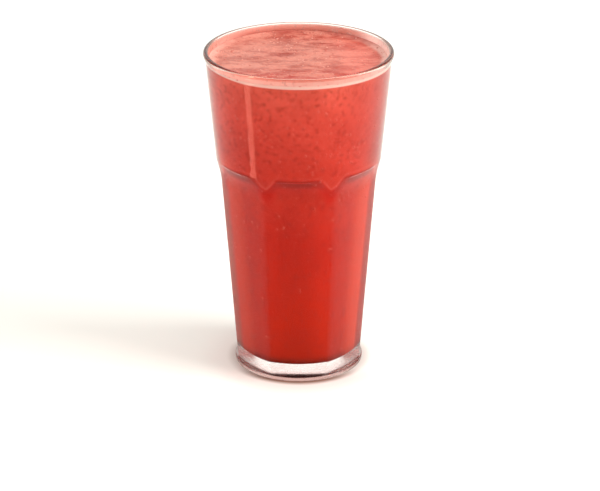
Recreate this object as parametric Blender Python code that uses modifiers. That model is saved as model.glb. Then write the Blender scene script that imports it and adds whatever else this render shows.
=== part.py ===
"""Strawberry juice in its glass: a tall panelled tumbler, the juice in it and the froth on top.

Metres, +Z up. The glass stands on z = 0 with its axis on the Z axis, and one panel faces -Y. The
panels are nearly flat, with a slight crown from crease to crease. Above them the glass is a round
band; below them a round foot. The inside is turned, with a shoulder behind the panels' arches, so
the wall is thickest behind the creases between the panels.
"""
import math

import bmesh
import bpy
from mathutils import Matrix

# ---- driving dimensions --------------------------------------------------------------------

HEIGHT = 0.1560             # table to lip
RIM_RADIUS = 0.0445         # outside of the lip bead
FOOT_RADIUS = 0.0308        # outside of the foot
SIDES = 84                  # facets round a turned shape: a multiple of PANEL_COUNT

PANEL_COUNT = 7
PANEL_TOP = 0.1044          # height of the crowns of the arches
LEDGE_DROP = 0.0006         # the ledge under a crown falls this much as it goes in
LEDGE_DEPTH = 0.0009        # how far the ledge goes in
SWEEP_BEND = 0.0985         # height of the sweep's control point
SWEEP_BOTTOM = 0.0940       # below this the panels run straight
PANEL_BOTTOM = 0.0027       # and here they turn out onto the foot
PANEL_CROWN = 0.0800        # radius of a panel's slight crown, from crease to crease
PANEL_STRIPS = 6            # flat strips that stand for the crown

BAND_RADIUS = 0.0391        # outside of the round band at PANEL_TOP
BAND_TAPER = 0.0925         # metres of radius per metre of height, in the round band
CREASE_RADIUS = 0.0300      # out to a crease, carried down to the table
BODY_TAPER = 0.0777         # metres of radius per metre of height, along a crease
CREASE_TRIM = 0.0002        # the round blank stands this far outside the creases

FOOT_HEIGHT = 0.0022        # top of the foot
FOOT_ROUNDING = 0.0008
RING_INSIDE = 0.0262        # inner edge of the flat ring that the glass stands on
PUNT_DEPTH = 0.0008         # depth of the shallow hollow under the base

BEAD_BOTTOM = 0.1515        # the lip bead swells out of the band from here
BEAD_FULL = 0.1545          # and reaches its full radius here
LIP_WALL = 0.0025           # wall at the lip
BAND_WALL = 0.0030          # wall of the round band
PANEL_WALL = 0.0042         # wall in the middle of a panel
FLOOR_TOP = 0.0069          # top of the solid glass base
FLOOR_CORNER = 0.0030       # rounding between floor and inner wall
SHOULDER_BOTTOM = 0.0860    # the inside widens from here
SHOULDER_TOP = 0.1090       # to here, and then runs straight up to the lip

GAP = 0.0003                # clearance between neighbouring solids
FROTH_TOP = 0.1512          # mean level of the froth
FROTH_DEPTH = 0.0062
FROTH_SWELL = 0.0004        # height of the froth's low waves
FROTH_RINGS = 9


# ---- profile helpers: every profile point is (radius, height) ------------------------------

def band_radius(height):
    """Outside radius of the round band, or of the cone that it belongs to."""
    return BAND_RADIUS + BAND_TAPER * (height - PANEL_TOP)


def crease_radius(height):
    """Distance from the axis to a crease between two panels."""
    return CREASE_RADIUS + BODY_TAPER * height


def crown_drop(aside):
    """How far a panel falls back at a distance aside from its middle."""
    return aside ** 2 / (2 * PANEL_CROWN)


def flat_distance(height):
    """Distance from the axis to the middle of a panel where it runs straight."""
    half_width = crease_radius(height) * math.sin(math.pi / PANEL_COUNT)
    chord = crease_radius(height) * math.cos(math.pi / PANEL_COUNT)
    return chord + crown_drop(half_width)


def ease(value):
    """Smooth step from 0 to 1."""
    value = min(max(value, 0.0), 1.0)
    return value * value * (3.0 - 2.0 * value)


def inner_radius(height):
    """Inside radius of the glass above its rounded floor corner."""
    panel_part = flat_distance(height) - PANEL_WALL
    lip = RIM_RADIUS - LIP_WALL
    shoulder = band_radius(SHOULDER_TOP) - BAND_WALL
    climb = (height - SHOULDER_TOP) / (HEIGHT - LIP_WALL / 2 - SHOULDER_TOP)
    band_part = shoulder + (lip - shoulder) * climb
    share = ease((height - SHOULDER_BOTTOM) / (SHOULDER_TOP - SHOULDER_BOTTOM))
    return panel_part + (band_part - panel_part) * share


def arc(centre, radius, start, end, steps):
    """Points on an arc, with angles in degrees from the outward direction."""
    points = []
    for step in range(steps + 1):
        angle = math.radians(start + (end - start) * step / steps)
        points.append((centre[0] + radius * math.cos(angle), centre[1] + radius * math.sin(angle)))
    return points


def sweep(start, control, end, steps):
    """Points on a quadratic curve, both ends included."""
    points = []
    for step in range(steps + 1):
        t = step / steps
        points.append(tuple(
            (1 - t) ** 2 * a + 2 * t * (1 - t) * b + t ** 2 * c
            for a, b, c in zip(start, control, end)
        ))
    return points


def spaced(low, high, steps):
    """Evenly spaced values from low to high, both included."""
    return [low + (high - low) * step / steps for step in range(steps + 1)]


# ---- profiles ------------------------------------------------------------------------------

def floor_and_wall(clearance):
    """Inside of the glass from the axis out over the floor and up to SHOULDER_TOP."""
    corner_top = FLOOR_TOP + FLOOR_CORNER
    wall = inner_radius(corner_top) - clearance
    corner = (wall - FLOOR_CORNER, corner_top + clearance)
    points = [(0.0, FLOOR_TOP + clearance)]
    points += arc(corner, FLOOR_CORNER, -90, 0, 4)
    for height in [SHOULDER_BOTTOM - 0.002] + spaced(SHOULDER_BOTTOM, SHOULDER_TOP, 8):
        points.append((inner_radius(height) - clearance, height))
    return points


def glass_profile():
    """The turned blank: up the inside, over the lip, down the outside, in under the base."""
    lip = LIP_WALL / 2
    lip_centre = (RIM_RADIUS - lip, HEIGHT - lip)
    points = floor_and_wall(0.0)
    points.append((RIM_RADIUS - LIP_WALL, HEIGHT - lip))
    points += arc(lip_centre, lip, 150, 0, 5)
    for share in (0.0, 0.35, 0.65, 1.0):
        height = BEAD_FULL + (BEAD_BOTTOM - BEAD_FULL) * share
        radius = RIM_RADIUS + (band_radius(BEAD_BOTTOM) - RIM_RADIUS) * ease(share)
        points.append((radius, height))
    points.append((band_radius(PANEL_TOP + 0.001), PANEL_TOP + 0.001))
    points.append((BAND_RADIUS, PANEL_TOP))
    for share in (0.25, 0.5, 0.75, 1.0):
        height = PANEL_TOP - 0.0075 * share
        low = crease_radius(height) + CREASE_TRIM
        points.append((band_radius(height) + (low - band_radius(height)) * ease(share), height))
    points.append((crease_radius(PANEL_BOTTOM) + CREASE_TRIM, PANEL_BOTTOM))
    points.append((FOOT_RADIUS - 0.0003, FOOT_HEIGHT + 0.0001))
    points.append((FOOT_RADIUS, FOOT_HEIGHT - 0.0005))
    foot_centre = (FOOT_RADIUS - FOOT_ROUNDING, FOOT_ROUNDING)
    points += arc(foot_centre, FOOT_ROUNDING, 0, -90, 3)
    for share in (1.0, 0.92, 0.75, 0.5, 0.25, 0.0):
        points.append((RING_INSIDE * share, PUNT_DEPTH * (1.0 - share ** 2)))
    return points


def juice_profile():
    """The juice, from the axis out over the floor, up the wall and back over the top."""
    top = FROTH_TOP - FROTH_DEPTH - GAP
    points = floor_and_wall(GAP)
    points.append((inner_radius(top) - GAP, top))
    points.append((0.0, top))
    points.reverse()
    return points


def froth_profile():
    """The froth before its waves: flat below, rings of points above."""
    bottom = FROTH_TOP - FROTH_DEPTH
    edge = inner_radius(FROTH_TOP) - GAP
    points = [(edge * share, FROTH_TOP) for share in spaced(0.0, 1.0, FROTH_RINGS)]
    points.append((inner_radius(bottom) - GAP, bottom))
    points.append((0.0, bottom))
    return points


def panel_cutter_profile():
    """Side view of what is cut away in front of one panel."""
    outside = RIM_RADIUS + 0.010
    ledge_in = (BAND_RADIUS - LEDGE_DEPTH, PANEL_TOP - LEDGE_DROP)
    flat_top = (flat_distance(SWEEP_BOTTOM), SWEEP_BOTTOM)
    bend = (flat_distance(SWEEP_BEND), SWEEP_BEND)
    flat_bottom = (flat_distance(PANEL_BOTTOM), PANEL_BOTTOM)
    fillet = (flat_distance(FOOT_HEIGHT), FOOT_HEIGHT)
    ledge_out = (flat_distance(FOOT_HEIGHT) + 0.0005, FOOT_HEIGHT)
    points = [(outside, PANEL_TOP + 0.0001), (BAND_RADIUS + 0.0002, PANEL_TOP)]
    points += sweep(ledge_in, bend, flat_top, 7)
    points += sweep(flat_bottom, fillet, ledge_out, 3)
    points.append((outside, FOOT_HEIGHT))
    return points


# ---- making objects ------------------------------------------------------------------------

def clear_scene():
    """Start from nothing."""
    for leftover in list(bpy.data.objects):
        bpy.data.objects.remove(leftover)


def new_collection(name):
    """A collection linked to the scene."""
    collection = bpy.data.collections.new(name)
    bpy.context.scene.collection.children.link(collection)
    return collection


def make_material(name, color, roughness, alpha=1.0):
    """A Principled BSDF with a flat colour."""
    material = bpy.data.materials.new(name)
    material.use_nodes = True
    shader = material.node_tree.nodes["Principled BSDF"]
    shader.inputs["Base Color"].default_value = (*color, 1.0)
    shader.inputs["Roughness"].default_value = roughness
    shader.inputs["Metallic"].default_value = 0.0
    shader.inputs["Alpha"].default_value = alpha
    material.diffuse_color = (*color, alpha)
    return material


def turned(name, profile, material, collection):
    """A profile carried once round the Z axis by a Screw modifier."""
    mesh = bpy.data.meshes.new(name)
    edges = [(index, index + 1) for index in range(len(profile) - 1)]
    mesh.from_pydata([(radius, 0.0, height) for radius, height in profile], edges, [])
    mesh.materials.append(material)
    piece = bpy.data.objects.new(name, mesh)
    collection.objects.link(piece)
    screw = piece.modifiers.new("turn", "SCREW")
    screw.axis = "Z"
    screw.angle = math.tau
    screw.steps = SIDES
    screw.render_steps = SIDES
    screw.use_merge_vertices = True
    screw.merge_threshold = 0.00001
    return piece


def as_mesh(piece):
    """Replace an object's modifiers, or a curve, by the plain mesh that they make."""
    bpy.context.view_layer.update()
    evaluated = piece.evaluated_get(bpy.context.evaluated_depsgraph_get())
    mesh = bpy.data.meshes.new_from_object(evaluated)
    return mesh


def panel_cutter(index, collection):
    """A prism with the cutter's side view, bent to the crown and set in front of one panel."""
    outline = panel_cutter_profile()
    reach = RIM_RADIUS * 0.62
    inside = flat_half_width() * 2 / PANEL_STRIPS
    stations = [inside * (step - PANEL_STRIPS / 2) for step in range(PANEL_STRIPS + 1)]
    stations = [-reach] + stations + [reach]
    points = [
        (radius - crown_drop(aside), aside, height)
        for aside in stations
        for radius, height in outline
    ]
    count = len(outline)
    faces = [tuple(range(count)), tuple(range(count * (len(stations) - 1), count * len(stations)))]
    for row in range(len(stations) - 1):
        for step in range(count):
            after = (step + 1) % count
            faces.append((
                row * count + step, row * count + after,
                (row + 1) * count + after, (row + 1) * count + step,
            ))
    mesh = bpy.data.meshes.new(f"cut_panel_{index}")
    mesh.from_pydata(points, [], faces)
    point_outwards(mesh)
    mesh.transform(Matrix.Rotation(-math.pi / 2 + math.tau * index / PANEL_COUNT, 4, "Z"))
    cutter = bpy.data.objects.new(f"cut_panel_{index}", mesh)
    collection.objects.link(cutter)
    cutter.hide_render = True
    cutter.display_type = "WIRE"
    return cutter


def flat_half_width():
    """Half the widest distance between two creases, a little over."""
    return crease_radius(PANEL_TOP) * math.sin(math.pi / PANEL_COUNT) + 0.0004


def point_outwards(mesh):
    """Make every face of a closed mesh point out of it."""
    work = bmesh.new()
    work.from_mesh(mesh)
    bmesh.ops.recalc_face_normals(work, faces=work.faces)
    work.to_mesh(mesh)
    work.free()


def make_glass(collection, cutters, material):
    """The tumbler: a turned blank with seven arched panels cut into it."""
    glass = turned("glass", glass_profile(), material, collection)
    for index in range(PANEL_COUNT):
        cut = glass.modifiers.new(f"panel_{index}", "BOOLEAN")
        cut.operation = "DIFFERENCE"
        cut.solver = "EXACT"
        cut.object = panel_cutter(index, cutters)
    return glass


def froth_wave(x, y):
    """Low uneven waves, fading out towards the wall."""
    radius = math.hypot(x, y)
    fade = 1.0 - ease((radius - 0.032) / 0.009)
    swirl = math.sin(240.0 * radius + 2.0 * math.atan2(y, x))
    ripple = math.sin(310.0 * x + 1.3) * math.cos(270.0 * y - 0.4)
    return FROTH_SWELL * fade * (0.6 * swirl + 0.4 * ripple)


def make_froth(collection, material):
    """The froth: a turned disc whose upper side has low waves."""
    disc = turned("froth_disc", froth_profile(), material, collection)
    mesh = as_mesh(disc)
    bpy.data.objects.remove(disc)
    for vertex in mesh.vertices:
        if vertex.co.z > FROTH_TOP - FROTH_DEPTH / 2:
            vertex.co.z += froth_wave(vertex.co.x, vertex.co.y)
    froth = bpy.data.objects.new("froth", mesh)
    collection.objects.link(froth)
    return froth


def main():
    """Build the whole part."""
    clear_scene()
    parts = new_collection("strawberry_juice")
    cutters = new_collection("cutters")
    clear_glass = make_material("clear_glass", (0.93, 0.95, 0.95), 0.03, alpha=0.3)
    red_juice = make_material("red_juice", (0.55, 0.05, 0.03), 0.35)
    pink_froth = make_material("pink_froth", (0.80, 0.20, 0.14), 0.6)
    make_glass(parts, cutters, clear_glass)
    turned("juice", juice_profile(), red_juice, parts)
    make_froth(parts, pink_froth)


main()
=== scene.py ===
# %% [markdown]
# # Strawberry juice in a panelled tumbler
#
# The object is a tall toughened glass with seven arched flats, filled with thick strawberry juice
# that carries a pink froth. This lesson dresses the plain solids of the frame: it remakes each one
# finely enough for light to play in it, and gives each a finish of its own.
#
# First the frame is loaded, and its box is kept. Its box is kept, because nothing that is added
# here may make the object bigger.

# %% Load the frame
import math

import bmesh
import bpy
import numpy as np
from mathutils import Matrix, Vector


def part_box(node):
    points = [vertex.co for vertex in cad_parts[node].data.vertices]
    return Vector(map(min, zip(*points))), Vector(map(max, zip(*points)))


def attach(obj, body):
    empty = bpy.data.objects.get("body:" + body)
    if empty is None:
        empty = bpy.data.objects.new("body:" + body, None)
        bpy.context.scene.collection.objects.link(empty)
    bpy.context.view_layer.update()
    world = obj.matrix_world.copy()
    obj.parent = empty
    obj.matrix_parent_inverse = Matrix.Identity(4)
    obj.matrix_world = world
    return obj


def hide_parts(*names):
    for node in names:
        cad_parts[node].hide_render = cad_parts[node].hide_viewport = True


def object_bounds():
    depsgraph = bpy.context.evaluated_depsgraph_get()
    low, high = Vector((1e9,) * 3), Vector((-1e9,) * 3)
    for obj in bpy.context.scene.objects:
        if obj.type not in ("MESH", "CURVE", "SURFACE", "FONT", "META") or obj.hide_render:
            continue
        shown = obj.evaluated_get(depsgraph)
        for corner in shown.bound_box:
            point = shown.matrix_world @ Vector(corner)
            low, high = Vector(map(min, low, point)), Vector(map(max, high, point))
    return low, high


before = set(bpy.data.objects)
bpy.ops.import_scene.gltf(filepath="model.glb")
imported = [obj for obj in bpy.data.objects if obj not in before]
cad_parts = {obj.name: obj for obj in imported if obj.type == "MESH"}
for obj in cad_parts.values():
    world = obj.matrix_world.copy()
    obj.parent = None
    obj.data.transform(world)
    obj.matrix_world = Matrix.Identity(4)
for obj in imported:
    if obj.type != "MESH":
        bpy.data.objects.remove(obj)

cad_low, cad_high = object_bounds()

print("nodes:", sorted(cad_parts))
print("box in mm:", [round(1000 * value, 1) for value in (cad_high - cad_low)])

# %% [markdown]
# ## Driving sizes
#
# The frame says how tall and wide the glass is. The other sizes are those of its construction: the
# round band above, the seven flats below, the thick base, and the wall, which is turned smooth on
# the inside. Everything is in metres, with the glass's axis on Z and one flat facing -Y.

# %% Sizes of the glass and of what fills it
HEIGHT = cad_high.z - cad_low.z
RIM_RADIUS = (cad_high.x - cad_low.x) / 2
FOOT_RADIUS = 0.0308

PANEL_COUNT = 7
PANEL_TOP = 0.1044
LEDGE_DROP = 0.0006
LEDGE_DEPTH = 0.0009
SWEEP_BEND = 0.0985
SWEEP_BOTTOM = 0.0940
PANEL_BOTTOM = 0.0027

BAND_RADIUS = 0.0391
BAND_TAPER = 0.0925
CREASE_RADIUS = 0.0300
BODY_TAPER = 0.0777
CREASE_TRIM = 0.0002
FACE_CROWN = 0.0800

FOOT_HEIGHT = 0.0022
FOOT_MIDDLE = 0.0013
FOOT_ROUNDING = 0.0005
RING_INSIDE = 0.0262
RING_OUTSIDE = 0.0280
PUNT_DEPTH = 0.0008
RING_RISE = 0.00003

BEAD_BOTTOM = 0.1515
BEAD_FULL = 0.1545
LIP_WALL = 0.0025
BAND_WALL = 0.0030
PANEL_WALL = 0.0042
FLOOR_TOP = 0.0066
FLOOR_CORNER = 0.0023
SHOULDER_BOTTOM = 0.0860
SHOULDER_TOP = 0.1090

FROTH_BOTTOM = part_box("froth")[0].z
FROTH_TOP = 0.1512
FROTH_CREEP = 0.0014
INTO_WALL = 0.0001
OFF_FLOOR = 0.00015
main_sizes = (HEIGHT, RIM_RADIUS, FROTH_TOP)
print("height, rim and froth level in mm:", [round(1000 * size, 1) for size in main_sizes])

# %% [markdown]
# Most of the other radii follow from these. The outside is a cone above and a slightly slimmer one
# below, and the flats are cut from the lower one. Tables of measured radii would do too, but a few
# short functions say why each radius is what it is, and can be asked at any height.


# %% Radii that follow from the sizes
def band_radius(height):
    """Outside of the round band, or of the cone that it belongs to."""
    return BAND_RADIUS + BAND_TAPER * (height - PANEL_TOP)


def crease_radius(height):
    """From the axis to a crease between two flats."""
    return CREASE_RADIUS + BODY_TAPER * height


def ease(value):
    """Smooth step from 0 to 1."""
    value = min(max(value, 0.0), 1.0)
    return value * value * (3.0 - 2.0 * value)


def flat_distance(height):
    """From the axis to the middle of a face where it runs straight, its slight crown included."""
    half = crease_radius(height) * math.sin(math.pi / PANEL_COUNT)
    return crease_radius(height) * math.cos(math.pi / PANEL_COUNT) + half**2 / (2 * FACE_CROWN)


def inner_radius(height):
    """Inside of the glass above its rounded floor corner."""
    panel_part = flat_distance(height) - PANEL_WALL
    shoulder = band_radius(SHOULDER_TOP) - BAND_WALL
    climb = (height - SHOULDER_TOP) / (HEIGHT - LIP_WALL / 2 - SHOULDER_TOP)
    band_part = shoulder + (RIM_RADIUS - LIP_WALL - shoulder) * climb
    share = ease((height - SHOULDER_BOTTOM) / (SHOULDER_TOP - SHOULDER_BOTTOM))
    return panel_part + (band_part - panel_part) * share


def spaced(low, high, steps):
    """Evenly spaced values from low to high, both included."""
    return [low + (high - low) * step / steps for step in range(steps + 1)]


def stretches(start, ends):
    """Values from start on, through stretches that each have an end and a number of steps."""
    values = [start]
    for end, steps in ends:
        values += spaced(start, end, steps)[1:]
        start = end
    return values


def arc(centre, radius, start, end, steps):
    """Points on an arc, with angles in degrees from the outward direction."""
    angles = [math.radians(angle) for angle in spaced(start, end, steps)]
    return [(centre[0] + radius * math.cos(a), centre[1] + radius * math.sin(a)) for a in angles]


print("inside radius at the shoulder in mm:", round(1000 * inner_radius(SHOULDER_BOTTOM), 1))

# %% [markdown]
# ## One class for node trees
#
# Node trees are easier to read as sums than as boxes and wires. The class below wraps an output
# socket, so that `1 - mask * 0.5` adds the Math nodes by itself. Every other node comes from one
# method, `node`, which takes the node's type, its settings and what goes into its sockets.


# %% A socket that can be used in a sum
class Wire:
    """An output socket of a node tree, or just the tree where there is no socket yet."""

    def __init__(self, tree, socket=None):
        self.tree = tree
        self.socket = socket

    def node(self, kind, settings=None, inputs=None, output=0):
        """Adds a node, sets it, fills its inputs with numbers or wires, and wraps one output."""
        made = self.tree.nodes.new(kind)
        for name, value in (settings or {}).items():
            setattr(made, name, value)
        for key, value in (inputs or {}).items():
            if isinstance(value, Wire):
                self.tree.links.new(value.socket, made.inputs[key])
            else:
                made.inputs[key].default_value = value
        return Wire(self.tree, made.outputs[output] if made.outputs else None)

    def math(self, operation, *values):
        """A Math node on wires or numbers."""
        return self.node("ShaderNodeMath", {"operation": operation}, dict(enumerate(values)))

    def __add__(self, other):
        return self.math("ADD", self, other)

    def __sub__(self, other):
        return self.math("SUBTRACT", self, other)

    def __mul__(self, other):
        return self.math("MULTIPLY", self, other)

    def __truediv__(self, other):
        return self.math("DIVIDE", self, other)

    def __rsub__(self, other):
        return self.math("SUBTRACT", other, self)

    def __rtruediv__(self, other):
        return self.math("DIVIDE", other, self)

    __radd__ = __add__
    __rmul__ = __mul__

    def part(self, axis):
        """One part of a vector."""
        found = self.node("ShaderNodeSeparateXYZ", None, {0: self})
        return Wire(self.tree, found.socket.node.outputs[axis])

    def step(self, low, high, start=0.0, end=1.0):
        """Eases from start to end as this value goes from low to high."""
        return self.node(
            "ShaderNodeMapRange",
            {"interpolation_type": "SMOOTHSTEP"},
            {"Value": self, "From Min": low, "From Max": high, "To Min": start, "To Max": end},
        )

    def fade(self, low, high):
        """Eases from 1 to 0 as this value goes from low to high."""
        return self.step(low, high, 1.0, 0.0)

    def mix(self, first, second):
        """A colour between two others, with this value as the share of the second."""
        settings = {"data_type": "RGBA", "clamp_factor": True}
        return self.node("ShaderNodeMix", settings, {0: self, 6: first, 7: second}, output=2)


print("reflected operators:", [name for name in vars(Wire) if name.startswith("__r")])

# %% [markdown]
# ## Turning a profile with Geometry Nodes
#
# Glass, juice and froth are all turned: a profile carried round the axis. A Screw modifier could do
# it, but then the flats would have to be cut afterwards, with hard edges. Here a grid is rolled up
# by Geometry Nodes instead. Each of its points looks up its place on the profile, and a rule that
# is handed to the tree may move the point before it is set: that rule is the mould of the press.
# A number called guide, which every profile point carries, tells the rule how to treat it.


# %% The tree that turns a profile
def turning_tree(name, sizes, rule):
    """A tree that turns the points of its input mesh round Z and lets a rule move them."""
    tree = bpy.data.node_groups.new(name, "GeometryNodeTree")
    tree.interface.new_socket("Profile", in_out="INPUT", socket_type="NodeSocketGeometry")
    tree.interface.new_socket("Sides", in_out="INPUT", socket_type="NodeSocketInt")
    for size in sizes:
        tree.interface.new_socket(size, in_out="INPUT", socket_type="NodeSocketFloat")
    tree.interface.new_socket("Finish", in_out="INPUT", socket_type="NodeSocketMaterial")
    tree.interface.new_socket("Mesh", in_out="OUTPUT", socket_type="NodeSocketGeometry")
    entry = tree.nodes.new("NodeGroupInput")
    given = {socket.name: Wire(tree, socket) for socket in entry.outputs}
    start = Wire(tree)

    profile = given["Profile"]
    rows = start.node("GeometryNodeAttributeDomainSize", {"component": "MESH"}, {0: profile})
    grid = start.node(
        "GeometryNodeMeshGrid",
        None,
        {"Size X": 1.0, "Size Y": 1.0, "Vertices X": given["Sides"] + 1, "Vertices Y": rows},
    )
    here = start.node("GeometryNodeInputPosition")
    row = start.math("ROUND", (here.part("Y") + 0.5) * (rows - 1))
    angle = (here.part("X") + 0.5) * math.tau

    def on_profile(kind, value):
        inputs = {"Geometry": profile, "Value": value, "Index": row}
        return start.node("GeometryNodeSampleIndex", {"data_type": kind}, inputs)

    place = on_profile("FLOAT_VECTOR", here)
    guide = start.node("GeometryNodeInputNamedAttribute", {"data_type": "FLOAT"}, {"Name": "guide"})
    radius, height = rule(
        given, place.part("X"), place.part("Z"), angle, on_profile("FLOAT", guide)
    )
    east = radius * start.math("SINE", angle)
    north = radius * start.math("COSINE", angle) * -1
    point = start.node("ShaderNodeCombineXYZ", None, {"X": east, "Y": north, "Z": height})

    rolled = start.node("GeometryNodeSetPosition", None, {"Geometry": grid, "Position": point})
    closed = start.node(
        "GeometryNodeMergeByDistance", None, {"Geometry": rolled, "Distance": 0.000002}
    )
    smooth = start.node("GeometryNodeSetShadeSmooth", None, {"Geometry": closed})
    real = start.node("GeometryNodeRealizeInstances", None, {"Geometry": smooth})
    dressed = start.node(
        "GeometryNodeSetMaterial", None, {"Geometry": real, "Material": given["Finish"]}
    )
    start.node("NodeGroupOutput", None, {0: dressed})
    return tree


def as_turned(given, radius, height, angle, guide):
    """The rule that leaves every point where the lathe puts it."""
    return radius, height


print("turning tree and its plainest rule are ready")

# %% [markdown]
# ## From tree to plain mesh
#
# A tree works as a modifier on some source mesh. It could stay live, but a plain mesh is easier to
# check, to hand on and to tie to the frame, so the result is copied out and the modifier is taken
# off. A modifier's inputs go by their socket's identifier, since two inputs may share a name.


# %% Run a tree on a mesh and keep the plain result
def grown(name, source, tree, values):
    """The mesh that a Geometry Nodes tree makes from a source mesh, as a new object."""
    piece = bpy.data.objects.new(name, source)
    bpy.context.scene.collection.objects.link(piece)
    modifier = piece.modifiers.new("make", "NODES")
    modifier.node_group = tree
    for item in tree.interface.items_tree:
        if item.in_out == "INPUT" and item.name in values:
            modifier[item.identifier] = values[item.name]
    bpy.context.view_layer.update()
    evaluated = piece.evaluated_get(bpy.context.evaluated_depsgraph_get())
    mesh = bpy.data.meshes.new_from_object(evaluated)
    piece.modifiers.clear()
    piece.data = mesh
    mesh.name = name
    outward(mesh)
    print(f"{name}: {len(mesh.vertices)} points, {len(mesh.polygons)} faces")
    return piece


def outward(mesh):
    """Turns the faces of a closed mesh so that they point out of it."""
    shape = bmesh.new()
    shape.from_mesh(mesh)
    bmesh.ops.dissolve_degenerate(shape, dist=1e-7, edges=shape.edges[:])
    bmesh.ops.recalc_face_normals(shape, faces=shape.faces[:])
    if shape.calc_volume(signed=True) < 0:
        bmesh.ops.reverse_faces(shape, faces=shape.faces[:])
    shape.to_mesh(mesh)
    shape.free()


def profile_mesh(points, guides=None):
    """A profile as loose points in the XZ plane, each with its guide number."""
    mesh = bpy.data.meshes.new("profile")
    mesh.from_pydata([(radius, 0.0, height) for radius, height in points], [], [])
    guide = mesh.attributes.new("guide", "FLOAT", "POINT")
    guide.data.foreach_set("value", guides or [0.0] * len(points))
    return mesh


def dress(piece, slot, *nodes):
    """Says what a piece moves with and hides the frame's parts that it stands for. The slot is not
    used.
    """
    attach(piece, "root")
    if nodes:
        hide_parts(*nodes)


# %% [markdown]
# ## Finishes
#
# Each finish is built on one Principled shader. What is the same all over is set on its sockets,
# and what varies, such as colour, roughness and relief, is linked to it from noises and from the
# place on the object. Painted textures could do this too, but sums on the object's own coordinates
# stay sharp at any distance and need no unwrapping.


# %% Start a finish
def finish(name, constants):
    """A material with one Principled shader whose constant sockets are set, and its tree."""
    material = bpy.data.materials.new(name)
    material.use_nodes = True
    tree = material.node_tree
    shader = tree.nodes["Principled BSDF"]
    for socket, value in constants.items():
        shader.inputs[socket].default_value = value
    return material, Wire(tree), shader


def feed(start, shader, **links):
    """Links wires to the shader's sockets, whose names are written with underscores."""
    for name, wire in links.items():
        start.tree.links.new(wire.socket, shader.inputs[name.replace("_", " ")])


def rgb(red, green, blue):
    """A colour from display values of 0 to 255."""
    shares = [value / 255.0 for value in (red, green, blue)]
    light = [v / 12.92 if v <= 0.04045 else ((v + 0.055) / 1.055) ** 2.4 for v in shares]
    return (*light, 1.0)


NO_LIGHT = rgb(0, 0, 0)


def place_of(start, scale=(1.0, 1.0, 1.0)):
    """Object coordinates, stretched by a scale."""
    here = start.node("ShaderNodeTexCoord", output=3)
    return start.node("ShaderNodeMapping", None, {"Vector": here, "Scale": scale})


def off_axis(start, place):
    """How far a point is from the Z axis."""
    level_only = {0: place, 1: (1.0, 1.0, 0.0)}
    flat = start.node("ShaderNodeVectorMath", {"operation": "MULTIPLY"}, level_only)
    return start.node("ShaderNodeVectorMath", {"operation": "LENGTH"}, {0: flat}, output=1)


def noise(start, place, scale, detail=2.0, roughness=0.5, distortion=0.0):
    """A cloudy value round 0.5."""
    inputs = {"Vector": place, "Scale": scale, "Detail": detail, "Roughness": roughness}
    inputs["Distortion"] = distortion
    return start.node("ShaderNodeTexNoise", None, inputs)


def relief(start, height, distance, strength=1.0):
    """A normal that makes a value look raised by a distance in metres."""
    inputs = {"Height": height, "Distance": distance, "Strength": strength}
    return start.node("ShaderNodeBump", None, inputs)


print("a display grey of 128 as light:", round(rgb(128, 128, 128)[0], 3))

# %% [markdown]
# The glass is clear and thick, and toughened. Pressed glass isn't quite even, so a slow, shallow
# wave in its surface bends the light a little. It could be one plain glass shader, but real glass
# looks different at the base, along the wall and at the lip, so its tint follows the place, and
# much of that tint is painted light and shade.

# %% Clear pressed glass
clear_glass, start, shader = finish(
    "clear_pressed_glass",
    {
        "IOR": 1.5,
        "Transmission Weight": 1.0,
        "Specular Tint": (0.15, 0.15, 0.15, 1.0),
        "Emission Strength": 0.19,
    },
)
here = place_of(start)
across, depth, level = here.part("X"), here.part("Y"), here.part("Z")
reach = off_axis(start, here)
aside = start.math("ABSOLUTE", across) / reach
wave = noise(start, here, 55.0, 1.0)
rubbed = noise(start, here, 420.0, 3.0)
print("glass bends light by an index of", shader.inputs["IOR"].default_value)

# %% [markdown]
# The base of a pressed tumbler shows in bands, and their light and shade are painted into the
# glass.
# Its underside is finely stippled and passes the table's light on, which a painted glow stands for;
# the fillet above the foot gathers the juice's red, painted on it; right under it the ledge mirrors
# the dark side of the room, painted as a near-black line; and the foot's edge is rubbed, with a
# painted tan for the light seen through it. Toward the sides they all fade, since there the eye
# looks through clear glass for longer.

# %% The base's tints, painted light and shade
NEARLY_CLEAR = (0.995, 0.997, 0.994, 1.0)

to_side = start.math("ABSOLUTE", across).step(0.010, 0.026)
# Painted glow: the stippled underside glows, for the table's light that it passes on.
stippled_and_glowing = reach.fade(0.0250, RING_INSIDE) * level.fade(0.0009, FOOT_MIDDLE)
worn_and_painted_tan = reach.step(FOOT_RADIUS - 0.0008, FOOT_RADIUS - 0.0003) * level.fade(0.0019, FOOT_HEIGHT)
past_flat = reach.step(0.0270, 0.0274)
# Painted shade: a near-black line on the ledge, for the dark room that it mirrors, mostly in front.
ledge = past_flat * level.step(0.0017, 0.0019) * level.fade(0.0026, 0.0030)
in_front = depth.fade(-0.010, 0.002)
ledge = ledge * depth.step(-0.0295, -0.0235, 1.0, 0.4) * (in_front * 0.8 + 0.2)
# Painted red light of the juice on the fillet above the foot, mostly in front.
painted_red_fillet = past_flat * level.step(0.0028, 0.0044, 0.4, 0.0) * (1 - to_side * 0.85) * in_front
tint = painted_red_fillet.mix(NEARLY_CLEAR, rgb(196, 110, 106))
# Painted light: the rubbed foot edge gets a tan for the light seen through it, deepest in front and
# paler at the sides.
foot = to_side.mix(rgb(176, 122, 114), rgb(228, 188, 180))
tint = worn_and_painted_tan.mix(tint, in_front.mix(rgb(246, 232, 228), foot))
print("tints so far: fillet, ledge and foot, in a tree of", len(start.tree.nodes), "nodes")
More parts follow.
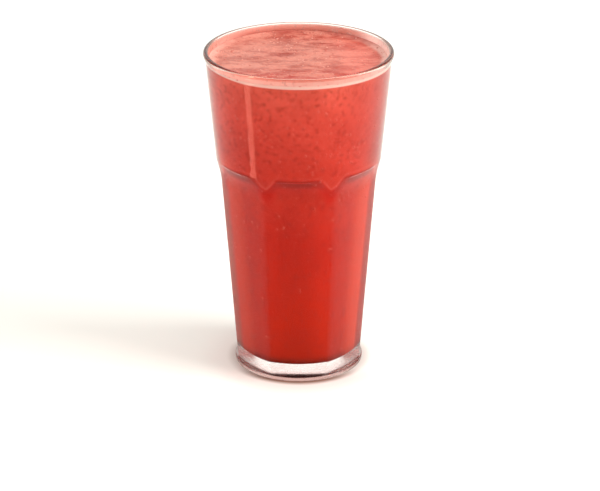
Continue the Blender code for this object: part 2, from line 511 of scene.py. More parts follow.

# %% [markdown]
# The lip is a bead that acts as a lens, and what it shows is painted into the glass. Its crest has
# a painted dark line at the sides, where it looks past the glass into the dim room, and a thin
# painted reddish one in front, where it looks at the drink. Below the crest the sides are painted a
# smoky grey, and the bead's outer top a pink, redder behind, for the film that it shows.

# %% The lip's tints, painted light and shade
outside = reach.step(RIM_RADIUS - 0.0021, RIM_RADIUS - 0.0015)
# Painted light on the bead's outer top: pink in front, redder behind, for the film the lens shows.
painted_lens_pink = outside * level.step(BEAD_FULL, HEIGHT - 0.0010)
tint = painted_lens_pink.mix(tint, depth.step(0.0, 0.03).mix(rgb(236, 184, 172), rgb(206, 120, 106)))
# Painted shade: a smoky grey at the two sides, just under the crest.
painted_side_shade = aside.step(0.86, 0.97) * level.step(FROTH_TOP, 0.1526)
tint = painted_side_shade.mix(tint, rgb(172, 150, 140))
# Painted shade and light on the crest: a dark line at the sides, a thin reddish one in front.
crest = outside * level.step(HEIGHT - 0.0008, HEIGHT - 0.0004)
tint = crest.mix(tint, aside.step(0.52, 0.86).mix(rgb(204, 108, 92), rgb(92, 72, 62)))
# Colour of the underside's painted glow: pink, and nearly white at the sides.
underside_glow = rubbed.step(0.3, 0.7).mix(rgb(255, 208, 200), rgb(255, 216, 210))
underside_glow = to_side.mix(underside_glow, rgb(255, 244, 238))
feed(
    start,
    shader,
    Base_Color=ledge.mix(tint, rgb(20, 4, 4)),
    Emission_Color=stippled_and_glowing.mix(NO_LIGHT, underside_glow),
    Roughness=rubbed.step(0.35, 0.75, 0.004, 0.03) + stippled_and_glowing * 0.26 + worn_and_painted_tan * 0.2,
    Normal=relief(start, wave * level.step(0.002, 0.012), 0.0004, 0.25),
)
print("finish:", clear_glass.name)

# %% [markdown]
# Strawberry juice is a thick, opaque red with fine pulp in it. Seen through the glass it is a deep
# red below and a little lighter near the top: that change with height is painted light and shade.
# Small air bubbles stay near the top, under the froth. Clouds of two sizes make the mottling, and
# small cells make the bubbles. Where the wall turns away, painted light and shade give warm flanks
# and paler and darker edges. The arched top of each flat bends the light, so a painted dark line
# and a painted glint follow it. One function adds each of these.


# %% Strawberry juice
ARCH_TOP = 0.1038
ARCH_SIDE = 0.0972
# Lighter towards the top and darkest at the very bottom: painted light and painted shade.
JUICE_STOPS = [
    (0.052, rgb(140, 30, 10)),
    (0.070, rgb(206, 40, 8)),
    (0.16, rgb(214, 40, 8)),
    (0.45, rgb(215, 43, 25)),
    (0.69, rgb(229, 66, 49)),
    (0.865, rgb(252, 96, 78)),
    (0.965, rgb(255, 112, 92)),
]


def ramp(start, share, stops):
    """A colour that goes through several stops, each a place from 0 to 1 and a colour."""
    scale = start.node("ShaderNodeValToRGB", None, {0: share})
    elements = scale.socket.node.color_ramp.elements
    for place, colour in stops[1:-1]:
        elements.new(place).color = colour
    elements[0].position, elements[0].color = stops[0]
    elements[len(stops) - 1].position, elements[len(stops) - 1].color = stops[-1]
    return scale


def pulpy(start, level, clouds, pulp):
    """The red, painted darker below and lighter near the top, with clouds and specks of pulp."""
    body = ramp(start, level, JUICE_STOPS)
    body = (clouds.step(0.3, 0.7) * 0.3).mix(body, rgb(190, 34, 22))
    return (pulp.step(0.5, 0.72) * 0.4).mix(body, rgb(172, 28, 18))


def with_sides(start, here, level, body):
    """Adds painted light and shade where the wall turns away: warm flanks, a darker right side
    and a pale left edge.
    """
    aside = here.part("X") / off_axis(start, here)
    sideways = start.math("ABSOLUTE", aside)
    flank = sideways.step(0.72, 0.90, 0.0, 0.4) * sideways.fade(0.955, 0.99)
    body = (flank * level.fade(0.66, 0.74)).mix(body, rgb(255, 78, 34))
    body = aside.step(0.955, 0.995, 0.0, 0.6).mix(body, rgb(150, 30, 24))
    body = (aside.step(0.74, 0.98) * level.step(0.60, 0.72) * 0.6).mix(body, rgb(150, 38, 31))
    body = aside.step(-0.995, -0.95, 0.35, 0.0).mix(body, rgb(186, 136, 124))
    return (aside.step(0.3, 0.75) * level.step(0.70, 0.84) * 0.45).mix(body, rgb(206, 58, 44))


def with_air(start, here, level, clouds, body):
    """Adds fine bubbles, more of them near the top and where the clouds are light."""
    cells = start.node("ShaderNodeTexVoronoi", None, {"Vector": here, "Scale": 380.0})
    air = cells.fade(0.10, 0.24) * clouds.step(0.5, 0.62)
    return (air * level.step(0.3, 0.9, 0.2, 0.5)).mix(body, rgb(246, 130, 106))


def with_arches(start, here, body):
    """Adds painted shade and a painted glint along each flat's arched top: a deeper band, a dark
    line, and the glint above them.
    """
    ahead = start.math("ARCTAN2", here.part("X"), here.part("Y") * -1)
    to_face = start.math("PINGPONG", start.math("ABSOLUTE", ahead), math.pi / PANEL_COUNT)
    above = here.part("Z") - to_face.step(0.25, 0.47, ARCH_TOP, ARCH_SIDE)
    under = above.step(-0.0095, -0.0030) * above.fade(0.0006, 0.0020)
    body = (under * to_face.step(0.12, 0.42, 0.2, 0.5)).mix(body, rgb(222, 18, 0))
    shade = above.step(-0.0048, -0.0012) * above.fade(0.0002, 0.0010)
    body = (shade * to_face.step(0.12, 0.42, 0.6, 0.15)).mix(body, rgb(140, 12, 2))
    glint = above.step(0.0008, 0.0018) * above.fade(0.0018, 0.0030)
    return (glint * to_face.step(0.12, 0.42, 0.05, 0.16)).mix(body, rgb(250, 140, 120))


def juice_colour(start):
    """The juice's colour, with the clouds and the pulp that mottle it."""
    here = place_of(start)
    level = here.part("Z") / HEIGHT
    clouds = noise(start, here, 70.0, 3.0, 0.6, 0.4)
    pulp = noise(start, here, 420.0, 2.0, 0.6)
    body = with_sides(start, here, level, pulpy(start, level, clouds, pulp))
    body = with_air(start, here, level, clouds, body)
    return with_arches(start, here, body), clouds, pulp


red_juice, start, shader = finish("strawberry_juice", {"Specular IOR Level": 0.03})
colour, clouds, pulp = juice_colour(start)
feed(
    start,
    shader,
    Base_Color=colour,
    Roughness=clouds.step(0.3, 0.7, 0.35, 0.55),
    Normal=relief(start, pulp, 0.0004, 0.4),
)
print("finish:", red_juice.name)

# %% [markdown]
# The froth is air that was whipped in: salmon pink, streaked where it was stirred, with paler
# rafts of fine bubbles and redder openings. Through the wall only its red underside shows, so the
# colour goes over to the juice's at the side.

# %% Pink froth
pink_froth, start, shader = finish(
    "pink_froth", {"Specular IOR Level": 0.03, "Coat Roughness": 0.25, "Emission Strength": 0.2}
)
juice = juice_colour(start)[0]
here = place_of(start, (0.8, 1.7, 1.0))
streaks = noise(start, here, 92.0, 4.0, 0.66, 0.25)
rafts = noise(start, here, 24.0, 2.0, 0.5, 0.8)
grain = noise(start, here, 420.0, 3.0, 0.6)
top = streaks.step(0.38, 0.58).mix(rgb(156, 58, 46), rgb(206, 120, 104))
top = (rafts.step(0.42, 0.62) * 0.3).mix(top, rgb(208, 138, 122))
top = (grain.step(0.4, 0.72) * 0.3).mix(top, rgb(212, 140, 122))
foam = start.node("ShaderNodeTexVoronoi", None, {"Vector": here, "Scale": 620.0})
print("froth so far: streaks, rafts and grain, in a tree of", len(start.tree.nodes), "nodes")

# %% [markdown]
# The froth isn't one tone all over. It is paler at the left, warmer towards the lamp, which is
# painted light, and thin in front, where the red shows through. Against the wall stands a ring of
# finer, lighter foam, painted lighter still on the lamp's side, and its very edge has a painted
# glow at the front, for the light that the glass feeds into it.

# %% The froth's tones from side to side
place = place_of(start)
out = off_axis(start, place)
lower = place.part("X").step(-0.040, -0.022, -0.0008, 0.0) * out.step(0.0405, 0.0412)
at_side = (place.part("Z") + lower).step(FROTH_TOP - 0.0010, FROTH_TOP - 0.0002)
pale = place.part("X").step(-0.032, -0.006, 0.3, 0.0)
top = pale.mix(top, rgb(222, 162, 146))
# Painted light: warmer on the lamp's side.
painted_lamp_warmth = place.part("X").step(0.006, 0.030, 0.0, 0.4)
top = painted_lamp_warmth.mix(top, rgb(232, 112, 97))
thin = out.step(0.026, 0.037) * place.part("Y").step(0.010, 0.028, 0.0, 0.35)
thin = thin + place.part("Y").fade(-0.030, -0.008)
top = (thin * streaks.step(0.36, 0.66, 0.8, 0.1)).mix(top, rgb(178, 48, 36))
ring = (out + (streaks - 0.5) * 0.004).step(0.0374, 0.0402)
ring = ring * place.part("Y").step(0.008, 0.032, 0.8, 0.1)
# Painted light: the ring is lighter on the lamp's side.
lit = place.part("X").step(0.010, 0.030)
top = ring.mix(top, lit.mix(rgb(226, 166, 152), rgb(250, 206, 194)))
# Painted glow and painted light on the ring's very edge at the front.
edge = at_side * out.step(0.0413, 0.0417) * place.part("Y").fade(-0.004, 0.018)
top = edge.mix(top, rgb(255, 214, 200))
feed(
    start,
    shader,
    Base_Color=at_side.mix(juice, top),
    Roughness=grain.step(0.3, 0.7, 0.35, 0.55),
    Emission_Color=edge.mix(NO_LIGHT, rgb(255, 200, 186)),
    Coat_Weight=at_side * grain.step(0.3, 0.7, 0.2, 0.4),
    Normal=relief(start, grain + foam * 0.6, 0.0006, 0.6),
)
print("finish:", pink_froth.name)

# %% [markdown]
# The bubbles are far too small for clear shells to pay: each is only a pixel or two. What the eye
# gets from one is a fleck that is a little paler than what lies round it. So air in the juice takes
# the juice's own colour, lightened, and air in the froth a pale pink that varies from bubble to
# bubble.

# %% Bubbles in the juice and in the froth
bubble_red, start, shader = finish("air_in_juice", {"Specular IOR Level": 0.05})
juice, clouds, pulp = juice_colour(start)
feed(
    start,
    shader,
    Base_Color=clouds.step(0.3, 0.7, 0.1, 0.28).mix(juice, rgb(255, 150, 128)),
    Roughness=pulp.step(0.3, 0.7, 0.3, 0.5),
)
bubble_pink, start, shader = finish("air_in_froth", {"Specular IOR Level": 0.12})
tint = noise(start, place_of(start), 300.0)
feed(
    start,
    shader,
    Base_Color=tint.step(0.35, 0.65).mix(rgb(190, 102, 88), rgb(224, 156, 142)),
    Roughness=tint.step(0.3, 0.7, 0.2, 0.4),
)
print("finishes:", bubble_red.name, bubble_pink.name)

# %% [markdown]
# Above the froth a thin film of pink froth clings to the inside of the lip, where the juice was
# poured or swirled. It is a skin less than a tenth of a millimetre thick, and full of gaps. Light
# goes through it, so here the Principled shader is mixed with a translucent and a transparent one.
# Its glow is painted light, and so is how its colour and glow change from side to side: lighter on
# the side in the lamp's shade, darker on the other, dimmer and redder behind.

# %% Film on the lip
lip_film, start, shader = finish("lip_film", {"Specular IOR Level": 0.3, "Emission Strength": 0.45})
here = place_of(start)
across, depth, level = here.part("X"), here.part("Y"), here.part("Z")
drained = noise(start, here, 330.0, 3.0, 0.6)
cover = drained.step(0.30, 0.5, 0.7, 0.97) * level.step(BEAD_FULL, HEIGHT - 0.0004, 1.0, 0.5)
colour = drained.step(0.3, 0.7).mix(rgb(252, 200, 188), rgb(255, 220, 210))
# Painted glow: the film is given light of its own.
glow = drained.step(0.3, 0.7).mix(rgb(196, 150, 141), rgb(196, 164, 156))
# Painted light and shade by place: lighter on the right, darker at the left, dimmer and redder
# behind.
behind = depth.step(0.022, 0.036)
shadow_side = across.step(0.016, 0.032)
near = depth.fade(-0.020, -0.006)
colour = shadow_side.mix(colour, near.mix(rgb(255, 236, 230), rgb(250, 196, 184)))
glow = shadow_side.mix(glow, near.mix(rgb(255, 250, 244), rgb(214, 168, 158)))
light_side = across.step(-0.034, -0.020, 0.7, 0.0)
colour = light_side.mix(colour, rgb(246, 168, 154))
glow = light_side.mix(glow, rgb(178, 116, 104))
upper = level.step(0.1525, 0.1550)
colour = behind.mix(colour, upper.mix(rgb(206, 112, 98), rgb(236, 178, 166)))
glow = behind.mix(glow, upper.mix(rgb(106, 43, 34), rgb(164, 115, 105)))
feed(
    start,
    shader,
    Base_Color=colour,
    Emission_Color=glow,
    Roughness=drained.step(0.3, 0.7, 0.3, 0.5),
)
through = start.node("ShaderNodeBsdfTranslucent", None, {"Color": rgb(253, 206, 194)})
surface = Wire(start.tree, shader.outputs[0])
skin = start.node("ShaderNodeMixShader", None, {0: 0.6, 1: surface, 2: through})
clear = start.node("ShaderNodeBsdfTransparent")
film_mix = start.node("ShaderNodeMixShader", None, {0: cover, 1: clear, 2: skin})
start.tree.links.new(film_mix.socket, start.tree.nodes["Material Output"].inputs["Surface"])
print("finish:", lip_film.name)

# %% [markdown]
# ## The glass
#
# The mould has a turned blank and seven flat faces. The distance from the axis is whichever is
# less: the blank's radius, or the flat's distance divided by the cosine of the angle to it. Taking
# the lesser of the two softly, with Smooth Minimum, gives the rounded creases that pressing leaves.
# The guide number is the flat's distance at that height; where there is no flat, it is far out.

# %% Profile of the blank, and the flats' distance at each height
NO_FLAT = 1.0
SWEEP_STEPS = 40
FILLET_STEPS = 8
FLAT_FILLET = 0.0005
CREASE_FADE = 0.0075


def quadratic(first, middle, last, steps):
    """Points on a quadratic curve, the first one left out."""
    points = []
    for t in spaced(0.0, 1.0, steps)[1:]:
        weights = ((1 - t) ** 2, 2 * t * (1 - t), t * t)
        parts = zip(first, middle, last)
        points.append(tuple(sum(w * p for w, p in zip(weights, part)) for part in parts))
    return points


ledge_low = (BAND_RADIUS - LEDGE_DEPTH, PANEL_TOP - LEDGE_DROP)
upper_sweep = [ledge_low] + quadratic(
    ledge_low,
    (flat_distance(SWEEP_BEND), SWEEP_BEND),
    (flat_distance(SWEEP_BOTTOM), SWEEP_BOTTOM),
    SWEEP_STEPS,
)
flat_foot = flat_distance(FOOT_HEIGHT)
lower_sweep = quadratic(
    (flat_distance(PANEL_BOTTOM), PANEL_BOTTOM),
    (flat_foot, FOOT_HEIGHT),
    (flat_foot + FLAT_FILLET, FOOT_HEIGHT),
    FILLET_STEPS,
)


def panel_side(height):
    """The flat's distance from the axis at a height, through both its sweeps."""
    if height >= PANEL_TOP:
        return NO_FLAT
    if height > ledge_low[1]:
        share = (height - ledge_low[1]) / LEDGE_DROP
        return ledge_low[0] + LEDGE_DEPTH * share
    if height > SWEEP_BOTTOM:
        sweep = upper_sweep[::-1]
    elif height > PANEL_BOTTOM:
        return flat_distance(height)
    elif height >= FOOT_HEIGHT:
        sweep = lower_sweep[::-1]
    else:
        return NO_FLAT
    return float(np.interp(height, [z for _, z in sweep], [r for r, _ in sweep]))


def blank_radius(height):
    """Outside of the turned blank above its foot."""
    if height >= PANEL_TOP:
        return band_radius(height)
    if height < PANEL_BOTTOM:
        share = (PANEL_BOTTOM - height) / (PANEL_BOTTOM - FOOT_HEIGHT)
        return crease_radius(PANEL_BOTTOM) + CREASE_TRIM * (1 - share)
    share = ease((PANEL_TOP - height) / CREASE_FADE)
    shrunk = crease_radius(height) + CREASE_TRIM
    return band_radius(height) + (shrunk - band_radius(height)) * share


print("flat at mid height, in mm from the axis:", round(1000 * panel_side(0.05), 2))

# %% [markdown]
# The section is walked once all the way round: from the middle of the underside, which is slightly
# hollow, out over the foot, up the wall, over the rounded lip, and down the inside to the floor.
# Fewer points would do for straight parts, but the arches of the flats only come out clean where
# the steps are fine, so their spacing is chosen stretch by stretch.


# %% Walk round the section of the glass
OUTSIDE_STRETCHES = [
    (0.0085, 8), (0.088, 20), (0.1015, 30), (0.1062, 26), (0.1130, 6), (BEAD_BOTTOM, 10)
]
LIP_INSIDE = 0.1530
INSIDE_STRETCHES = [(0.1120, 12), (0.0840, 16), (FLOOR_TOP + FLOOR_CORNER, 10)]


def glass_section():
    """Points from the middle of the underside out, up, over the rim and back in."""
    shares = spaced(0.0, 1.0, 14)
    hollow = PUNT_DEPTH - RING_RISE
    walk = [(RING_INSIDE * share, RING_RISE + hollow * (1 - share**2)) for share in shares]
    walk += [(RING_OUTSIDE, RING_RISE)]
    edge = FOOT_RADIUS - FOOT_ROUNDING
    walk += arc((edge, FOOT_ROUNDING), FOOT_ROUNDING, -90, 0, 7) + [(FOOT_RADIUS, FOOT_MIDDLE)]
    walk += arc((edge, FOOT_HEIGHT - FOOT_ROUNDING), FOOT_ROUNDING, 0, 90, 6)
    walk = [(radius, max(height, RING_RISE)) for radius, height in walk]
    guides = [NO_FLAT] * len(walk)
    heights = [z for _, z in lower_sweep[::-1]] + stretches(PANEL_BOTTOM, OUTSIDE_STRETCHES)[1:]
    walk += [(blank_radius(height), height) for height in heights]
    guides += [panel_side(height) for height in heights]
    lip = []
    swell = RIM_RADIUS - band_radius(BEAD_BOTTOM)
    for height in spaced(BEAD_BOTTOM, BEAD_FULL, 6)[1:]:
        left = ease((BEAD_FULL - height) / (BEAD_FULL - BEAD_BOTTOM))
        lip.append((RIM_RADIUS - swell * left, height))
    half = LIP_WALL / 2
    lip += arc((RIM_RADIUS - half, HEIGHT - half), half, 0, 180, 16)
    inside = stretches(LIP_INSIDE, INSIDE_STRETCHES)
    lip += [(inner_radius(height), height) for height in inside]
    corner = inner_radius(FLOOR_TOP + FLOOR_CORNER) - FLOOR_CORNER
    lip += arc((corner, FLOOR_TOP + FLOOR_CORNER), FLOOR_CORNER, 0, -90, 6)[1:]
    lip += [(corner * share, FLOOR_TOP) for share in (0.75, 0.5, 0.25, 0.0)]
    return walk + lip, guides + [NO_FLAT] * len(lip)


section, flats = glass_section()
print("points on the section:", len(section))

# %% [markdown]
# Real flats are never quite flat: they are crowned, as the plunger leaves them. The rule turns the
# guide number into a very shallow arc across the face. Cutting the flats with seven boxes and a
# Boolean would give knife edges and a ragged mesh, where this gives one smooth, even grid.


# %% The rule of the mould, and the pressed glass
def pressed(given, radius, height, angle, guide):
    """The lesser of blank and flat, taken softly."""
    start = Wire(angle.tree)
    to_face = start.math("PINGPONG", angle, math.pi / PANEL_COUNT)
    ahead = start.math("COSINE", to_face)
    aside = start.math("SINE", to_face)
    bend = guide * aside * aside * 2 / given["Crown"]
    face = guide * 2 / (ahead + start.math("SQRT", ahead * ahead + bend))
    return start.math("SMOOTH_MIN", radius, face, given["Crease"]), height


GLASS_SIDES = 420
CREASE_SOFT = 0.0014
mould = turning_tree("pressed_tumbler", ["Crease", "Crown"], pressed)
glass = grown(
    "glass_tumbler",
    profile_mesh(section, flats),
    mould,
    {"Sides": GLASS_SIDES, "Crease": CREASE_SOFT, "Crown": FACE_CROWN, "Finish": clear_glass},
)
dress(glass, "clear_glass", "glass")

# %% [markdown]
# ## The juice
#
# The juice fills the glass and touches the wall everywhere, so it is made to reach a tenth of a
# millimetre into the wall. An air gap there would mirror the surroundings like quicksilver.


# %% Juice up to the froth
FILLING_SIDES = 192
EDGE_STEP = 0.00003
FILLING_STRETCHES = [(0.085, 14), (0.110, 20), (FROTH_BOTTOM - EDGE_STEP, 8)]


def juice_section():
    """From the middle of the floor, out, up the wall, and back to the middle under the froth."""
    corner = inner_radius(FLOOR_TOP + FLOOR_CORNER) - FLOOR_CORNER
    walk = [(corner * share, FLOOR_TOP + OFF_FLOOR) for share in (0.0, 0.35, 0.7, 1.0)]
    walk += arc((corner, FLOOR_TOP + FLOOR_CORNER), FLOOR_CORNER + INTO_WALL, -74, 0, 7)
    heights = stretches(FLOOR_TOP + FLOOR_CORNER, FILLING_STRETCHES)[1:] + [FROTH_BOTTOM]
    walk += [(inner_radius(height) + INTO_WALL, height) for height in heights]
    edge = walk[-1][0]
    return walk + [(edge * share, FROTH_BOTTOM) for share in (0.99, 0.8, 0.5, 0.2, 0.0)]


lathe = turning_tree("turned_filling", [], as_turned)
juice = grown(
    "juice_body",
    profile_mesh(juice_section()),
    lathe,
    {"Sides": FILLING_SIDES, "Finish": red_juice},
)
dress(juice, "red_juice", "juice")

# %% [markdown]
# ## The froth
#
# The froth's top is the only part of the drink that is seen without glass before it. It isn't
# level: stirring leaves low swirls. A noise that is stretched and bent lifts the points of the top,
# as much as the guide number allows, which falls to nothing over the last twelfth before the wall.


# %% The rule of the swirls, and the froth
FROTH_SIDES = 360
TOP_STEPS = 110
CREEP_WIDTH = 0.0016
CALM_SHARE = 12


def swirled(given, radius, height, angle, guide):
    """Lifts the top of the froth by a bent noise."""
    start = Wire(angle.tree)
    east = radius * start.math("SINE", angle)
    north = radius * start.math("COSINE", angle) * -1
    flat = start.node("ShaderNodeCombineXYZ", None, {"X": east, "Y": north * 1.6, "Z": 0.0})
    slow = noise(start, flat, 75.0, 3.0, 0.55, 0.6)
    fine = noise(start, flat, 420.0, 2.0, 0.55, 0.3)
    lift = (slow - 0.5) * given["Swirl"] + (fine - 0.5) * given["Bubbling"]
    return radius, height + lift * guide


def froth_section():
    """From the middle of the underside, out, up the wall, and back over the swirled top."""
    low = inner_radius(FROTH_BOTTOM) + INTO_WALL
    walk = [(low * share, FROTH_BOTTOM) for share in (0.0, 0.2, 0.5, 0.8, 0.99)]
    heights = [FROTH_BOTTOM] + spaced(FROTH_BOTTOM + EDGE_STEP, FROTH_TOP + FROTH_CREEP, 12)
    walk += [(inner_radius(height) + INTO_WALL, height) for height in heights]
    guides = [0.0] * len(walk)
    edge = walk[-1][0]
    for step in range(1, TOP_STEPS + 1):
        share = 1.0 - step / TOP_STEPS
        creep = math.exp(-(1 - share) * edge / CREEP_WIDTH)
        walk.append((edge * share, FROTH_TOP + FROTH_CREEP * creep))
        guides.append(ease((1 - share) * CALM_SHARE))
    return walk, guides


swirls = turning_tree("swirled_froth", ["Swirl", "Bubbling"], swirled)
froth_points, froth_guides = froth_section()
froth = grown(
    "froth_cap",
    profile_mesh(froth_points, froth_guides),
    swirls,
    {"Sides": FROTH_SIDES, "Swirl": 0.0013, "Bubbling": 0.0005, "Finish": pink_froth},
)
dress(froth, "pink_froth", "froth")

# %% [markdown]
# ## The film on the lip
#
# The skin that clings to the glass above the froth is a thin closed ring, turned like the rest. It
# could be painted on the glass, but then no light would pass behind it. It stands a hair off the
# wall, because a skin that touches glass tints everything that the whole lip mirrors.

# %% The film that clings to the lip
FILM_THICK = 0.00008
FILM_BOTTOM = 0.1520
OFF_WALL = 0.00002
half = LIP_WALL / 2
wall = [(inner_radius(height), height) for height in spaced(FILM_BOTTOM, BEAD_FULL, 6)]
wall += arc((RIM_RADIUS - half, HEIGHT - half), half, 180, 140, 4)
film_walk = [(radius - OFF_WALL, height) for radius, height in wall]
film_walk += [(radius - FILM_THICK, height) for radius, height in wall[::-1]]
film_walk.append(film_walk[0])
film = grown(
    "lip_film", profile_mesh(film_walk), lathe, {"Sides": FILLING_SIDES, "Finish": lip_film}
)
dress(film, "pink_froth")

# %% [markdown]
# ## Bubbles
#
# Whipping beats air into the juice. Small bubbles rest against the wall, more of them the higher
# one looks, and the froth is beaded with them. One tree scatters them: it spreads points over a
# surface, as densely as a rule allows at each place, and sets a small flattened ball on each.


# %% The tree that scatters beads
def scattering_tree(name, rule):
    """A tree that sets flattened beads on the surface of its input mesh, thinned by a rule."""
    tree = bpy.data.node_groups.new(name, "GeometryNodeTree")
    tree.interface.new_socket("Ground", in_out="INPUT", socket_type="NodeSocketGeometry")
    for size in ("Density", "Small", "Large", "Flatness"):
        tree.interface.new_socket(size, in_out="INPUT", socket_type="NodeSocketFloat")
    tree.interface.new_socket("Seed", in_out="INPUT", socket_type="NodeSocketInt")
    tree.interface.new_socket("Finish", in_out="INPUT", socket_type="NodeSocketMaterial")
    tree.interface.new_socket("Mesh", in_out="OUTPUT", socket_type="NodeSocketGeometry")
    entry = tree.nodes.new("NodeGroupInput")
    given = {socket.name: Wire(tree, socket) for socket in entry.outputs}
    start = Wire(tree)

    here = start.node("GeometryNodeInputPosition")
    facing = start.node("GeometryNodeInputNormal")
    density = given["Density"] * rule(start, here, facing)
    points = start.node(
        "GeometryNodeDistributePointsOnFaces",
        {"distribute_method": "RANDOM"},
        {"Mesh": given["Ground"], "Density": density, "Seed": given["Seed"]},
    )
    turned = Wire(tree, points.socket.node.outputs["Rotation"])
    draw = {2: 0.0, 3: 1.0, "Seed": given["Seed"]}
    chance = start.node("FunctionNodeRandomValue", None, draw, output=1)
    size = given["Small"] + (given["Large"] - given["Small"]) * chance * chance
    thick = size * given["Flatness"]
    scale = start.node("ShaderNodeCombineXYZ", None, {0: size, 1: size, 2: thick})
    ball = start.node("GeometryNodeMeshIcoSphere", None, {"Radius": 1.0, "Subdivisions": 2})
    placed = start.node(
        "GeometryNodeInstanceOnPoints",
        None,
        {"Points": points, "Instance": ball, "Rotation": turned, "Scale": scale},
    )
    real = start.node("GeometryNodeRealizeInstances", None, {"Geometry": placed})
    smooth = start.node("GeometryNodeSetShadeSmooth", None, {"Geometry": real})
    dressed = start.node(
        "GeometryNodeSetMaterial", None, {"Geometry": smooth, "Material": given["Finish"]}
    )
    start.node("NodeGroupOutput", None, {0: dressed})
    return tree

# %% [markdown]
# Against the wall, the tree is given a copy of the juice's own mesh, and a rule that keeps only its
# upright side, more of it near the top, in drifts. Painted dots would look alike from the front,
# but real beads catch the light on their own small tops.


# %% Air against the wall
def near_wall(start, here, facing):
    """Only on the upright side, and more towards the top, in drifts."""
    upright = start.math("ABSOLUTE", facing.part("Z")).fade(0.3, 0.5)
    drifts = noise(start, here, 45.0, 2.0).step(0.4, 0.62, 0.15, 1.0)
    return upright * drifts * here.part("Z").step(0.03, 0.14, 0.12, 1.0)


wall_air = grown(
    "wall_bubbles",
    juice.data.copy(),
    scattering_tree("bubbles_on_wall", near_wall),
    {
        "Density": 110000.0,
        "Small": 0.0002,
        "Large": 0.00062,
        "Flatness": 0.3,
        "Seed": 7,
        "Finish": bubble_red,
    },
)
dress(wall_air, "red_juice")

# %% [markdown]
# On the froth, the same tree spreads more and smaller beads over the top, in rafts, as they gather
# on a real drink. Another seed keeps the two scatters from looking related.


# %% Air in the froth
def on_froth(start, here, facing):
    """Only on the top, in rafts."""
    near_top = here.part("Z").step(FROTH_TOP - 0.0017, FROTH_TOP - 0.0012)
    upward = facing.part("Z").step(0.5, 0.7) * near_top
    rafts = noise(start, here, 60.0, 2.0).step(0.42, 0.6, 0.15, 1.0)
    return upward * rafts


froth_air = grown(
    "froth_bubbles",
    froth.data.copy(),
    scattering_tree("bubbles_on_froth", on_froth),
    {
        "Density": 260000.0,
        "Small": 0.00018,
        "Large": 0.00055,
        "Flatness": 0.4,
        "Seed": 3,
        "Finish": bubble_pink,
    },
)
dress(froth_air, "pink_froth")

# %% [markdown]
# ## Studio
#
# The glass stands on a pale table in a bright, even room. A cyclorama would do for a backdrop, but
# a large plain floor under a white room gives the same soft horizon with one face. Round the foot
# the table is a little darker and redder, where the drink shades it and colours the light. In the
# room, two dark flags stand at the sides, at the height of the glass: they draw its edges.


# %% Floor and room
FLOOR_HALF = 2.5
ROOM_STRENGTH = 1.14
ROOM_TONE = (1.0, 0.98, 0.94, 1.0)


def set_floor():
    """A plain pale floor, far larger than the object, with painted shade and painted red light
    round the foot.
    """
    mesh = bpy.data.meshes.new("floor")
    corners = [(FLOOR_HALF * x, FLOOR_HALF * y, 0) for x, y in ((-1, -1), (1, -1), (1, 1), (-1, 1))]
    mesh.from_pydata(corners, [], [(0, 1, 2, 3)])
    floor = bpy.data.objects.new("floor", mesh)
    bpy.context.scene.collection.objects.link(floor)
    material, start, shader = finish("pale_floor", {"Roughness": 0.6, "Specular IOR Level": 0.2})
    here = place_of(start)
    grain = noise(start, here, 6.0, 3.0)
    away = off_axis(start, here)
    colour = grain.step(0.3, 0.7).mix(rgb(247, 252, 248), rgb(250, 254, 250))
    # Painted shade and painted red light round the foot, mostly in front, and a painted contact
    # shadow under its edge.
    near = here.part("Y").step(-0.030, -0.014, 1.0, 0.3)
    colour = (near * away.step(0.0340, 0.052, 0.4, 0.0)).mix(colour, rgb(224, 186, 184))
    contact_shadow = away.step(FOOT_RADIUS - 0.0004, FOOT_RADIUS) * away.fade(0.0312, 0.0358)
    colour = (contact_shadow * near).mix(colour, rgb(140, 102, 88))
    feed(start, shader, Base_Color=colour)
    mesh.materials.append(material)


def set_room(top, side, front):
    """A white room that is bright above and behind, and darker towards the front."""
    world = bpy.data.worlds.new("room")
    world.use_nodes = True
    start = Wire(world.node_tree)
    background = world.node_tree.nodes["Background"]
    background.inputs["Strength"].default_value = ROOM_STRENGTH
    way = start.node("ShaderNodeTexCoord", output=0)
    level = way.part("Y").step(-0.95, -0.1, front, side)
    flags = (way.part("X") * way.part("X")).step(0.35, 0.7)
    flags = flags * way.part("Z").step(-0.02, 0.06) * way.part("Z").fade(0.56, 0.66)
    level = level * (1 - flags * 0.9)
    level = way.part("Z").step(0.2, 0.6) * (top - level) + level
    tone = level.mix(NO_LIGHT, ROOM_TONE)
    world.node_tree.links.new(tone.socket, background.inputs["Color"])
    bpy.context.scene.world = world


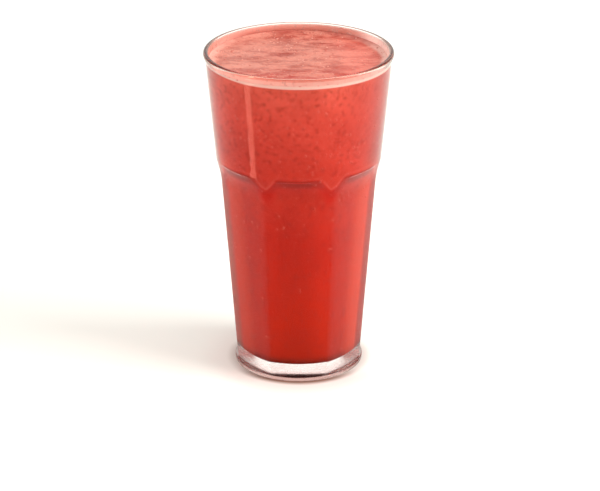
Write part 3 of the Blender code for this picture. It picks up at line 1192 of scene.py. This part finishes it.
set_floor()
set_room(top=0.95, side=0.92, front=0.30)
print("world:", bpy.context.scene.world.name)

# %% [markdown]
# One broad lamp, high at the right, models the glass and throws a soft shadow to the left. A second
# one is small, low and warm, close by at the left: the glass widens upwards, so what its wall
# mirrors lies low, and this lamp draws the bright upright streak. It hardly lights anything else.


# %% Lights
def area_light(name, place, aim, size, watts, colour):
    """A rectangular light that the camera itself doesn't see."""
    lamp = bpy.data.lights.new(name, "AREA")
    lamp.shape = "RECTANGLE"
    lamp.size, lamp.size_y = size
    lamp.energy = watts
    lamp.color = colour
    light = bpy.data.objects.new(name, lamp)
    light.location = place
    light.rotation_euler = (Vector(aim) - Vector(place)).to_track_quat("-Z", "Y").to_euler()
    light.visible_camera = False
    bpy.context.scene.collection.objects.link(light)


area_light(
    "key",
    place=(0.9, -0.25, 0.7),
    aim=(0, 0, 0.08),
    size=(0.7, 0.7),
    watts=13.0,
    colour=(1.0, 0.97, 0.92),
)
area_light(
    "left_strip",
    place=(-0.179, -0.097, 0.033),
    aim=(-0.02, -0.02, 0.06),
    size=(0.030, 0.075),
    watts=0.10,
    colour=(1.0, 0.36, 0.26),
)
print("lights:", [item.name for item in bpy.data.lights])

# %% [markdown]
# A long lens from a fair distance keeps the sides of the glass nearly parallel, where a short one
# close by would make it look like a cone. It looks down by about 22 degrees, to show the froth.

# %% Camera
TILT = math.radians(22.36)
DISTANCE = 1.2
AIM = (0.00063, 0.0, 0.0575)
lens = bpy.data.cameras.new("camera")
lens.lens = 150.0
lens.sensor_width = 36.0
lens.clip_start = 0.01
camera = bpy.data.objects.new("camera", lens)
back, up = DISTANCE * math.cos(TILT), DISTANCE * math.sin(TILT)
camera.location = (AIM[0], AIM[1] - back, AIM[2] + up)
camera.rotation_euler = (math.pi / 2 - TILT, 0.0, 0.0)
bpy.context.scene.collection.objects.link(camera)
bpy.context.scene.camera = camera
bpy.context.scene.view_settings.view_transform = "Standard"
print("camera at", [round(value, 3) for value in camera.location])

# %% [markdown]
# They must agree, since nothing here may grow the object.
